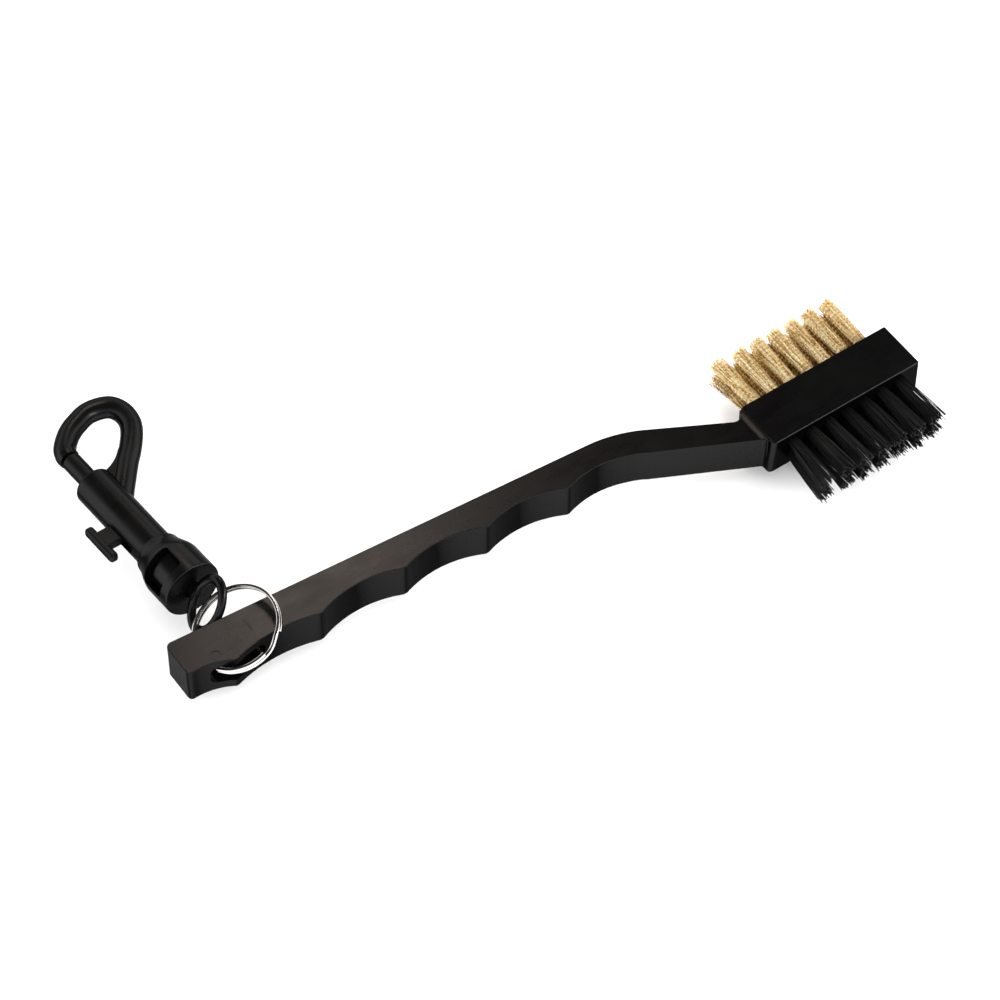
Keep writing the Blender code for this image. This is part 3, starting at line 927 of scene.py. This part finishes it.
def bristle_mesh(name, paths, radii, sides):
    """Thin closed wires that run mostly along Y: a (points, 3) array and a radius for each."""
    vertices, faces = [], []
    count = 0
    angles = np.arange(sides) * 2 * np.pi / sides
    section = np.stack([np.cos(angles), 0 * angles, np.sin(angles)], axis=1)
    for path, radius in zip(paths, radii):
        rings = path[:, None, :] + section[None] * radius
        vertices.append(rings.reshape(-1, 3))
        steps = len(path)
        forward = path[-1, 1] > path[0, 1]
        for i in range(steps - 1):
            for j in range(sides):
                k = (j + 1) % sides
                a, b = count + i * sides + j, count + i * sides + k
                quad = (a, a + sides, b + sides, b)
                faces.append(quad if forward else quad[::-1])
        first = [count + j for j in range(sides)]
        last = [count + (steps - 1) * sides + j for j in range(sides)]
        faces.append(first if forward else first[::-1])
        faces.append(last[::-1] if forward else last)
        count += steps * sides
    mesh = bpy.data.meshes.new(name)
    mesh.from_pydata(np.concatenate(vertices).tolist(), [], faces)
    smooth(mesh, TUBE_SMOOTH_DEGREES)
    return mesh


def disc_points(count, random):
    """Evenly packed points in a unit disc, a little disturbed."""
    turns = np.arange(count) * GOLDEN_ANGLE + random.uniform(0, RANDOM_TURN)
    reach = np.sqrt((np.arange(count) + 0.5) / count)
    points = np.stack([reach * np.cos(turns), reach * np.sin(turns)], axis=1)
    return points + random.normal(0, DISC_JITTER, points.shape)


def tuft_lean(random, column, z, lean, end_lean, row_lean):
    """How far a tuft's tips stand off its hole, along X and Z."""
    lean_x = random.normal(0, lean[0]) - (end_lean if column == 0 else 0.0)
    lean_z = random.normal(0, lean[1]) + (row_lean[0] if z > MID_HEIGHT else row_lean[1])
    return lean_x, lean_z


def fan_share(y, reach):
    """0 where a bristle stands straight in its hole, rising to 1 at its tip."""
    return np.clip((y - FAN_START) / (reach - FAN_START), 0.0, 1.0)


def build_brass(upper, lower):
    """Crimped wires: those of one tuft are crimped in step, so the waves line up in rows."""
    for index, (suffix, x, z) in enumerate(tuft_places()):
        random = np.random.RandomState(BRASS_SEED + index)
        column = index % COLUMNS
        roots = disc_points(BRASS_WIRES, random)
        tips = roots + random.normal(0, BRASS_TIP_JITTER, roots.shape)
        lean_x, lean_z = tuft_lean(
            random, column, z, BRASS_LEAN, BRASS_END_LEAN, BRASS_ROW_LEAN
        )
        plane = math.pi / 2 + random.uniform(-CRIMP_TILT, CRIMP_TILT)
        phase = random.uniform(0, RANDOM_TURN)
        paths = []
        for root, tip in zip(roots, tips):
            reach = BRASS_REACH + random.normal(0, BRASS_REACH_SPREAD)
            y = np.linspace(ROOT_START, reach, BRASS_STEPS)
            out = fan_share(y, reach)
            fan_x = BRASS_TIP_RADIUS * tip[0] + lean_x
            fan_z = BRASS_TIP_RADIUS * tip[1] + lean_z
            if column == 0 and random.rand() < STRAY_SHARE:
                fan_x -= random.uniform(*STRAY_OUT)
                fan_z += random.uniform(*STRAY_UP)
            path_x = x + BRASS_ROOT_RADIUS * root[0] * (1 - out) + fan_x * out
            path_z = z + BRASS_ROOT_RADIUS * root[1] * (1 - out) + fan_z * out
            strength = CRIMP_SWING * random.uniform(*CRIMP_STRENGTH)
            shift = random.normal(0, CRIMP_SHIFT)
            swing = strength * np.sin(2 * np.pi * y / CRIMP_PITCH + phase + shift)
            swing *= np.clip((y - CRIMP_START) / CRIMP_FADE, 0.0, 1.0)
            turn = plane + random.normal(0, CRIMP_TWIST)
            path_x = path_x + swing * math.cos(turn)
            path_z = np.maximum(path_z + swing * math.sin(turn), LOWEST_BRISTLE)
            paths.append(np.stack([path_x, y, path_z], axis=1))
        name = f"brass_bristles_{suffix}"
        mesh = bristle_mesh(name, paths, [BRASS_WIRE_RADIUS] * BRASS_WIRES, BRASS_SIDES)
        # The lower row gets the darker brass: painted shade between the rows.
        piece = place_object(name, mesh, upper if z > MID_HEIGHT else lower)
        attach(piece, "brush")
        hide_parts(f"brass_tuft_{suffix}")


def build_nylon(material):
    """Straight filaments that fan out, with slightly uneven ends."""
    for index, (suffix, x, z) in enumerate(tuft_places()):
        random = np.random.RandomState(NYLON_SEED + index)
        column = index % COLUMNS
        lean_x, lean_z = tuft_lean(
            random, column, z, NYLON_LEAN, NYLON_END_LEAN, NYLON_ROW_LEAN
        )
        paths, radii = [], []
        for root in disc_points(NYLON_FILAMENTS, random):
            reach = NYLON_REACH + random.normal(0, NYLON_REACH_SPREAD)
            y = np.linspace(ROOT_START, reach, NYLON_STEPS)
            out = fan_share(y, reach)
            bow = random.normal(0, NYLON_BOW, 2)
            fan_x = NYLON_TIP_RADIUS * root[0] + lean_x
            fan_x += random.normal(0, NYLON_TIP_SPREAD[0])
            fan_z = NYLON_TIP_FLATNESS * NYLON_TIP_RADIUS * root[1] + lean_z
            fan_z += random.normal(0, NYLON_TIP_SPREAD[1])
            path_x = x + root[0] * NYLON_ROOT_RADIUS * (1 - out) + fan_x * out
            path_z = z + root[1] * NYLON_ROOT_RADIUS * (1 - out) + fan_z * out
            path_x = path_x + bow[0] * np.sin(np.pi * out)
            path_z = np.maximum(path_z + bow[1] * np.sin(np.pi * out), LOWEST_BRISTLE)
            paths.append(np.stack([path_x, -y, path_z], axis=1))
            radii.append(NYLON_RADIUS * random.uniform(*NYLON_RADIUS_SPREAD))
        name = f"nylon_bristles_{suffix}"
        piece = place_object(name, bristle_mesh(name, paths, radii, NYLON_SIDES), material)
        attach(piece, "brush")
        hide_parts(f"nylon_tuft_{suffix}")


# ---- ring and snap -------------------------------------------------------------------


def build_split_ring(material):
    """Two turns of square wire. The jog is where the first coil steps over to the second."""
    first = COIL_JOG / 2 + COIL_END_GAP
    last = 4 * math.pi - first
    path = []
    for i in range(COIL_STEPS + 1):
        along = first + (last - first) * i / COIL_STEPS
        share = (along - 2 * math.pi + COIL_JOG / 2) / COIL_JOG
        lift = COIL_SPACING * (ease(min(max(share, 0.0), 1.0)) - 0.5)
        angle = COIL_SEAM + along
        x = RING_PIVOT_TO_CENTRE + RING_RADIUS * math.cos(angle)
        path.append((x, RING_RADIUS * math.sin(angle), lift))
    outline = square_section(RING_WIRE_HALF, RING_WIRE_CORNER)
    mesh = swept_mesh("split_ring_coils", path, lambda share: outline, (0, 0, 1))
    smooth(mesh, RING_SMOOTH_DEGREES)
    ring = place_object("split_ring_coils", mesh, material)
    ring.location = RING_PIVOT
    ring.rotation_euler = RING_ANGLES
    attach(ring, "split_ring")
    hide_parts("split_ring")


def snap_matrix():
    turn = Matrix.Rotation(SNAP_ANGLES[2], 4, "Z")
    turn = turn @ Matrix.Rotation(SNAP_ANGLES[1], 4, "Y")
    turn = turn @ Matrix.Rotation(SNAP_ANGLES[0], 4, "X")
    return Matrix.Translation(SNAP_ORIGIN) @ turn


def fit_to_snap(made, along=0.0, turn=0.0):
    """Lays a piece modelled about Z along the snap's axis, moved and turned on it."""
    offset = Matrix.Translation((0, 0, along)) @ Matrix.Rotation(turn, 4, "Z")
    made.matrix_world = snap_matrix() @ offset


def rim(radius, height, edge, outward, into, steps=EDGE_SEGMENTS):
    """Profile points that round the corner between an end face and the side.

    They run outward from the end face, or else from the side in to it. into is +1 or -1,
    the way from the end face into the piece.
    """
    points = []
    for i in range(steps + 1):
        angle = math.pi / 2 * i / steps
        across, down = math.sin(angle), math.cos(angle)
        if not outward:
            across, down = down, across
        points.append((radius - edge + edge * across, height + into * edge * (1 - down)))
    return points


def hook_form():
    path = [(-side, 0.0, along) for along, side in smooth_path(HOOK_PATH, HOOK_PATH_STEPS)]

    def section(share):
        narrowing = HOOK_TIP_TAPER * max(0.0, (share - (1 - HOOK_TIP_SHARE)) / HOOK_TIP_SHARE)
        return round_section(HOOK_RADIUS * (1.0 - narrowing), HOOK_SECTION_STEPS)

    hook = place_object("hook_form", swept_mesh("hook_form", path, section, (0, 1, 0)))
    add_bevel(hook, HOOK_END_EDGE, EDGE_SEGMENTS)
    return hook


def web_form():
    """The web between the barrel and the root of the hook."""
    outline = [(-side, along) for along, side in WEB_OUTLINE]
    web = prism("web_form", outline, -WEB_THICKNESS / 2, WEB_THICKNESS / 2)
    web.rotation_euler.x = math.radians(90)
    add_bevel(web, WEB_EDGE, EDGE_SEGMENTS)
    return web


def cage_window_form():
    """The two windows of the cage, as one cutter right through it."""
    half, reach = CAGE_OPENING / 2, 2 * COLLAR_RADIUS
    shape = box_shape((-half, -reach, CAGE[0]), (half, reach, CAGE[1]))
    round_edges(shape, edges_along(shape, 1), CAGE_OPENING_CORNER, OPENING_CORNER_SEGMENTS)
    window = form_of("window_form", shape)
    window.rotation_euler.z = CAGE_TURN
    return window


def thumb_slot_form():
    """The slot in one side of the barrel, for the knob's neck."""
    half, reach = THUMB_SLOT_WIDTH / 2, 2 * COLLAR_RADIUS
    shape = box_shape((0.0, -half, THUMB_SLOT[0]), (reach, half, THUMB_SLOT[1]))
    round_edges(shape, edges_along(shape, 0), THUMB_SLOT_CORNER, OPENING_CORNER_SEGMENTS)
    return form_of("thumb_slot_form", shape)


def build_clip_body(material):
    """The hook, barrel, cage and collar in one moulding."""
    profile = (
        [(0.0, BARREL_END)]
        + rim(BARREL_RADIUS, BARREL_END, MOUTH_EDGE, True, -1, MOUTH_SEGMENTS)
        + list(SHOULDER)
        + rim(COLLAR_RADIUS, 0.0, COLLAR_EDGE, False, 1)
        + [(COLLAR_FACE_RING, 0.0), (0.0, 0.0)]
    )
    mesh = turned_mesh("clip_body", profile, BARREL_STEPS)
    body = place_object("clip_body_moulding", mesh, material)
    stem_foot, stem_top = ((0, 0, height) for height in STEM_HOLE)
    bore_foot, bore_top = (0, 0, CAGE[1] - BORE_OVERRUN), (0, 0, BARREL_END + BORE_OVERRUN)
    cage_foot, cage_top = ((0, 0, height) for height in CAGE)
    joined = (hook_form(), web_form())
    cut = (
        cage_window_form(),
        cylinder_form("cage_form", CAGE_RADIUS, cage_foot, cage_top, BARREL_STEPS),
        cylinder_form("stem_form", STEM_RADIUS + GAP, stem_foot, stem_top, STEM_HOLE_STEPS),
        cylinder_form("bore_form", BORE_RADIUS, bore_foot, bore_top, BORE_STEPS),
        thumb_slot_form(),
    )
    settle(body, joined, cut)
    fit_to_snap(body)
    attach(body, "clip")
    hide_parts("clip_body")


def eye_form():
    """The oval eye, a ring of round wire that is a little wider than it is long."""
    shape = bmesh.new()
    rings = []
    for i in range(EYE_STEPS):
        turn = 2 * math.pi * i / EYE_STEPS
        ring = []
        for j in range(EYE_SECTION_STEPS):
            around = 2 * math.pi * j / EYE_SECTION_STEPS
            wide = EYE_RADIUS + EYE_SECTION * math.cos(around)
            wide += EYE_SPREAD * (1 + math.cos(around))
            long = EYE_LENGTH_SHARE * EYE_RADIUS + EYE_SECTION * math.cos(around)
            thick = EYE_SECTION * math.sin(around)
            ring.append(shape.verts.new((wide * math.cos(turn), thick, long * math.sin(turn))))
        rings.append(ring)
    bridge(shape, rings + rings[:1])
    return form_of("eye_form", shape)


def build_swivel(material):
    """The head, stem and eye in one moulding, with its heights from the eye's centre."""
    low, high = SWIVEL_HEAD[0] - EYE_CENTRE, SWIVEL_HEAD[1] - EYE_CENTRE
    root = EYE_RADIUS * EYE_LENGTH_SHARE - EYE_SECTION / 2
    r = SWIVEL_HEAD_RADIUS
    crown = rim(r, high, SWIVEL_HEAD_EDGE, True, -1, SWIVEL_HEAD_SEGMENTS)
    profile = [(0.0, high)] + crown[1:]
    profile += [(share * r, low + rise) for share, rise in SWIVEL_HEAD_FOOT]
    profile += [(STEM_RADIUS, low), (STEM_RADIUS, root), (0.0, root)]
    mesh = turned_mesh("swivel", profile, SWIVEL_STEPS)
    swivel = place_object("swivel_eye_moulding", mesh, material)
    settle(swivel, joined=(eye_form(),), degrees=SWIVEL_SMOOTH_DEGREES)
    fit_to_snap(swivel, EYE_CENTRE, EYE_TURN)
    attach(swivel, "swivel")
    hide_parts("swivel_eye")


def build_bolt(material):
    length = BOLT_ENDS[1] - BOLT_ENDS[0]
    profile = [(0.0, length)] + rim(BOLT_RADIUS, length, BOLT_TIP_EDGE, True, -1)
    profile += rim(BOLT_RADIUS, 0.0, BOLT_FOOT_EDGE, False, 1) + [(0.0, 0.0)]
    bolt = place_object("bolt_plunger", turned_mesh("bolt", profile, BOLT_STEPS), material)
    peg_at = (KNOB_NECK[0] + KNOB_NECK[1]) / 2 - BOLT_ENDS[0]
    start, end = (PEG_HOLE[0], 0, peg_at), (PEG_HOLE[1], 0, peg_at)
    hole = cylinder_form("peg_hole_form", PEG_RADIUS + GAP, start, end, PEG_STEPS)
    settle(bolt, cut=(hole,))
    fit_to_snap(bolt, BOLT_ENDS[0])
    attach(bolt, "bolt")
    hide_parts("bolt")


def knob_neck_form(peg_at):
    low, high = KNOB_NECK[0] - peg_at, KNOB_NECK[1] - peg_at
    half = KNOB_NECK_THICKNESS / 2
    near, far = BOLT_RADIUS + GAP, KNOB_BAR_REACH[0] + KNOB_NECK_OVERLAP
    neck = form_of("knob_neck_form", box_shape((near, -half, low), (far, half, high)))
    add_bevel(neck, KNOB_NECK_EDGE, KNOB_NECK_SEGMENTS)
    return neck


def knob_grooves_form(peg_at):
    """Grooves across the outer face of the bar, for the thumb."""
    middle = (KNOB_BAR[0] + KNOB_BAR[1]) / 2 - peg_at
    span = (KNOB_BAR[1] - KNOB_BAR[0]) * KNOB_GROOVED_LENGTH
    half = KNOB_BAR_WIDTH * KNOB_GROOVED_HALF_WIDTH
    top = KNOB_BAR_REACH[1] + KNOB_GROOVE_LIFT
    shape = bmesh.new()
    for i in range(KNOB_GROOVES):
        z = middle + span * (i / (KNOB_GROOVES - 1) - 0.5)
        start, end = (top, -half, z), (top, half, z)
        add_cylinder(shape, KNOB_GROOVE_RADIUS, start, end, KNOB_GROOVE_STEPS)
    return form_of("knob_grooves_form", shape)


def build_knob(material):
    """A bar on a neck, with the peg that fixes it to the bolt."""
    peg_at = (KNOB_NECK[0] + KNOB_NECK[1]) / 2
    low, high = KNOB_BAR[0] - peg_at, KNOB_BAR[1] - peg_at
    half = KNOB_BAR_WIDTH / 2
    shape = box_shape((KNOB_BAR_REACH[0], -half, low), (KNOB_BAR_REACH[1], half, high))
    knob = place_object("thumb_knob_moulding", mesh_of("thumb_knob", shape), material)
    add_bevel(knob, KNOB_BAR_EDGE, KNOB_BAR_SEGMENTS)
    start, end = (PEG_START, 0, 0), (BOLT_RADIUS + GAP + PEG_OVERLAP, 0, 0)
    peg = cylinder_form("knob_peg_form", PEG_RADIUS, start, end, PEG_STEPS)
    settle(knob, (knob_neck_form(peg_at), peg), (knob_grooves_form(peg_at),))
    fit_to_snap(knob, peg_at)
    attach(knob, "bolt")
    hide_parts("thumb_knob")


def build_spring(material):
    """The coil spring, from the swivel's head to the bolt."""
    start = SWIVEL_HEAD[1] + GAP + SPRING_WIRE
    end = BOLT_ENDS[0] - GAP - SPRING_WIRE
    steps = SPRING_TURNS * SPRING_TURN_STEPS
    path = []
    for i in range(steps + 1):
        angle = 2 * math.pi * SPRING_TURNS * i / steps
        x, y = SPRING_RADIUS * math.cos(angle), SPRING_RADIUS * math.sin(angle)
        path.append((x, y, (end - start) * i / steps))
    outline = round_section(SPRING_WIRE, SPRING_WIRE_STEPS)
    mesh = swept_mesh("bolt_spring_coil", path, lambda share: outline, (0, 0, 1))
    smooth(mesh, TUBE_SMOOTH_DEGREES)
    spring = place_object("bolt_spring_coil", mesh, material)
    fit_to_snap(spring, start)
    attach(spring, "clip")
    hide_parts("bolt_spring")
    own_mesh(spring)


# ---- studio --------------------------------------------------------------------------


def build_camera():
    data = bpy.data.cameras.new("photo_camera")
    data.lens = CAMERA_LENS
    data.sensor_width = CAMERA_SENSOR
    data.clip_start, data.clip_end = CAMERA_CLIP
    camera = place_object("photo_camera", data)
    flat = math.cos(CAMERA_ELEVATION)
    back = Vector((
        math.sin(CAMERA_AZIMUTH) * flat,
        -math.cos(CAMERA_AZIMUTH) * flat,
        math.sin(CAMERA_ELEVATION),
    ))
    camera.location = CAMERA_TARGET + back * CAMERA_DISTANCE
    camera.rotation_mode = "QUATERNION"
    camera.rotation_quaternion = (-back).to_track_quat("-Z", "Y")
    bpy.context.scene.camera = camera


def add_area_light(name, offset, target, size, power, colour=WHITE):
    """A soft box set off from the spot it shines on."""
    data = bpy.data.lights.new(name, "AREA")
    data.shape = "RECTANGLE"
    data.size, data.size_y = size
    data.energy = power
    data.color = colour
    light = place_object(name, data)
    light.location = target + Vector(offset)
    light.rotation_mode = "QUATERNION"
    light.rotation_quaternion = Vector(offset).to_track_quat("Z", "Y")


def build_world():
    """White surroundings, with a dark ceiling and bright low walls for glossy faces."""
    world = bpy.data.worlds.new("studio_world")
    bpy.context.scene.world = world
    world.use_nodes = True
    tree = world.node_tree
    background = tree.nodes["Background"]
    background.inputs["Color"].default_value = (*WHITE, 1.0)
    place = tree.nodes.new("ShaderNodeTexCoord")
    split = tree.nodes.new("ShaderNodeSeparateXYZ")
    tree.links.new(place.outputs["Generated"], split.inputs["Vector"])
    walls = tree.nodes.new("ShaderNodeMapRange")
    walls.interpolation_type = "SMOOTHSTEP"
    tree.links.new(split.outputs["Z"], walls.inputs["Value"])
    walls.inputs["From Min"].default_value = WALL_FADE[0]
    walls.inputs["From Max"].default_value = WALL_FADE[1]
    walls.inputs["To Min"].default_value = WALL_LEVEL
    walls.inputs["To Max"].default_value = CEILING_LEVEL
    path = tree.nodes.new("ShaderNodeLightPath")
    level = tree.nodes.new("ShaderNodeMix")
    tree.links.new(path.outputs["Is Glossy Ray"], level.inputs["Factor"])
    level.inputs["A"].default_value = ROOM_LEVEL
    tree.links.new(walls.outputs["Result"], level.inputs["B"])
    tree.links.new(level.outputs["Result"], background.inputs["Strength"])


def build_studio(material):
    low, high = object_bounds()
    centre = (low + high) / 2
    shape = bmesh.new()
    place = Matrix.Translation((centre.x, centre.y, 0.0))
    bmesh.ops.create_grid(
        shape, x_segments=FLOOR_CELLS, y_segments=FLOOR_CELLS, size=FLOOR_HALF, matrix=place
    )
    floor = place_object("studio_floor", mesh_of("studio_floor", shape), material)
    floor.location.z = low.z - FLOOR_DROP
    floor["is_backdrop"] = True

    build_world()
    add_area_light(
        "tail_softbox", TAIL_BOX_OFFSET, TAIL_SPOT, TAIL_BOX_SIZE, TAIL_BOX_POWER, TAIL_BOX_COLOUR
    )
    add_area_light("near_strip", STRIP_OFFSET, HEAD_SPOT, STRIP_SIZE, STRIP_POWER)
    bpy.context.scene.view_settings.view_transform = "Standard"


def main():
    plastics = {name: moulded_plastic(name, *look) for name, look in PLASTICS.items()}
    upper_brass = brass_material("upper_brass_look", *UPPER_BRASS)
    # Darker brass for the lower row: painted shade between the rows.
    lower_brass_painted_shade = brass_material("lower_brass_painted_shade_look", *LOWER_BRASS_PAINTED_SHADE)
    build_handle(plastics["handle_moulding_look"])
    build_brass(upper_brass, lower_brass_painted_shade)
    build_nylon(nylon_material())
    build_split_ring(nickel_material())
    build_clip_body(plastics["snap_plastic_look"])
    build_swivel(plastics["eye_plastic_look"])
    build_bolt(plastics["bolt_plastic_look"])
    build_knob(plastics["knob_plastic_look"])
    build_spring(spring_material())
    build_camera()
    build_studio(floor_material())


main()
